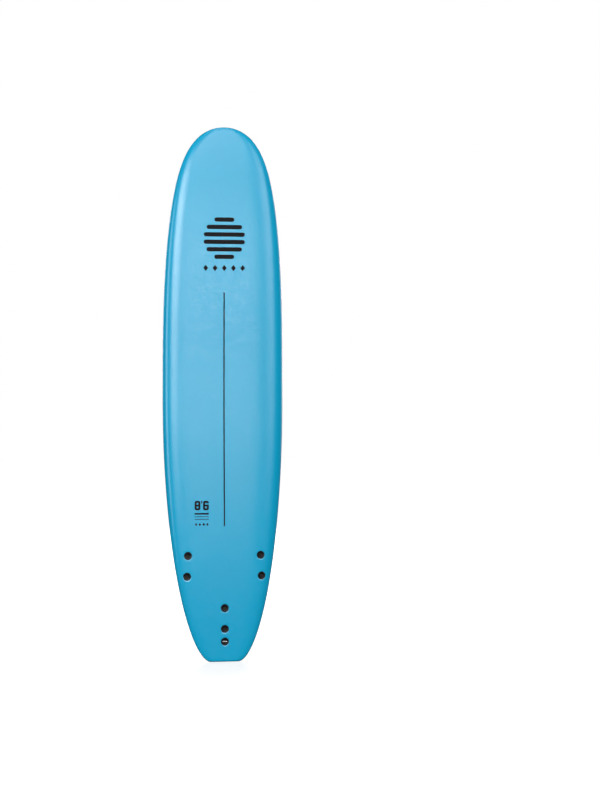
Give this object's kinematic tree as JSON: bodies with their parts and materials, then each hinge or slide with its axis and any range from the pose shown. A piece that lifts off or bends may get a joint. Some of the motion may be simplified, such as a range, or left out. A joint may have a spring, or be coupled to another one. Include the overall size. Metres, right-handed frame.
{
  "type": "longboard surfboard",
  "caption": "Soft-top longboard surfboard with a round nose, a squash tail, a foam deck, a slick bottom, bolt-through fins and a leash plug.",
  "frame": {"origin": "on the floor under the centre of the board's box, with the board standing on its tail", "axes": "+Z runs from the tail to the nose, the deck faces -Y, the bottom and the fins face +Y, and +X is the right-hand side of a rider who faces the nose with the deck up"},
  "size_m": [0.59, 0.2218, 2.591],
  "materials": {
    "deck_foam": "matte",
    "slick": "satin",
    "bumper_foam": "matte",
    "core_foam": "matte",
    "plywood": "matte",
    "sleeve_plastic": "satin",
    "cup_plastic": "satin",
    "fin_plastic": "satin",
    "stainless": "satin",
    "brass": "satin"
  },
  "bodies": {
    "board": {"foam_core_left": "core_foam", "foam_core_centre": "core_foam", "foam_core_right": "core_foam", "stringer_left": "plywood", "stringer_right": "plywood", "deck_skin": "deck_foam", "bottom_backing": "core_foam", "bottom_slick": "slick", "nose_bumper": "bumper_foam", "tail_bumper": "bumper_foam", "left_front_sleeve": "sleeve_plastic", "left_rear_sleeve": "sleeve_plastic", "right_front_sleeve": "sleeve_plastic", "right_rear_sleeve": "sleeve_plastic", "centre_front_sleeve": "sleeve_plastic", "centre_rear_sleeve": "sleeve_plastic", "left_front_cup": "cup_plastic", "left_rear_cup": "cup_plastic", "right_front_cup": "cup_plastic", "right_rear_cup": "cup_plastic", "centre_front_cup": "cup_plastic", "centre_rear_cup": "cup_plastic", "leash_cup": "cup_plastic", "leash_bar": "stainless"},
    "left_fin": {"fin_left": "fin_plastic", "left_fin_inserts": "brass"},
    "right_fin": {"fin_right": "fin_plastic", "right_fin_inserts": "brass"},
    "centre_fin": {"fin_centre": "fin_plastic", "centre_fin_inserts": "brass"},
    "left_front_bolt": {"left_front_bolt": "stainless"},
    "left_rear_bolt": {"left_rear_bolt": "stainless"},
    "right_front_bolt": {"right_front_bolt": "stainless"},
    "right_rear_bolt": {"right_rear_bolt": "stainless"},
    "centre_front_bolt": {"centre_front_bolt": "stainless"},
    "centre_rear_bolt": {"centre_rear_bolt": "stainless"},
    "leash_plug_disc": {"leash_disc": "cup_plastic"}
  },
  "joints": [
    {"name": "left_fin_pull", "type": "slide", "parent": "board", "child": "left_fin", "axis": [-0.0283, 0.9963, -0.0808], "range_m": [0, 0.075]},
    {"name": "right_fin_pull", "type": "slide", "parent": "board", "child": "right_fin", "axis": [0.0283, 0.9963, -0.0808], "range_m": [0, 0.075]},
    {"name": "centre_fin_pull", "type": "slide", "parent": "board", "child": "centre_fin", "axis": [0, 0.9931, -0.1177], "range_m": [0, 0.075]},
    {"name": "left_front_bolt_out", "type": "slide", "parent": "board", "child": "left_front_bolt", "axis": [0.0283, -0.9963, 0.0808], "range_m": [0, 0.05]},
    {"name": "left_rear_bolt_out", "type": "slide", "parent": "board", "child": "left_rear_bolt", "axis": [0.0283, -0.9963, 0.0808], "range_m": [0, 0.05]},
    {"name": "right_front_bolt_out", "type": "slide", "parent": "board", "child": "right_front_bolt", "axis": [-0.0283, -0.9963, 0.0808], "range_m": [0, 0.05]},
    {"name": "right_rear_bolt_out", "type": "slide", "parent": "board", "child": "right_rear_bolt", "axis": [-0.0283, -0.9963, 0.0808], "range_m": [0, 0.05]},
    {"name": "centre_front_bolt_out", "type": "slide", "parent": "board", "child": "centre_front_bolt", "axis": [0, -0.9931, 0.1177], "range_m": [0, 0.05]},
    {"name": "centre_rear_bolt_out", "type": "slide", "parent": "board", "child": "centre_rear_bolt", "axis": [0, -0.9931, 0.1177], "range_m": [0, 0.05]},
    {"name": "leash_disc_out", "type": "slide", "parent": "board", "child": "leash_plug_disc", "axis": [0, 0.9907, -0.1358], "range_m": [0, 0.03]}
  ]
}
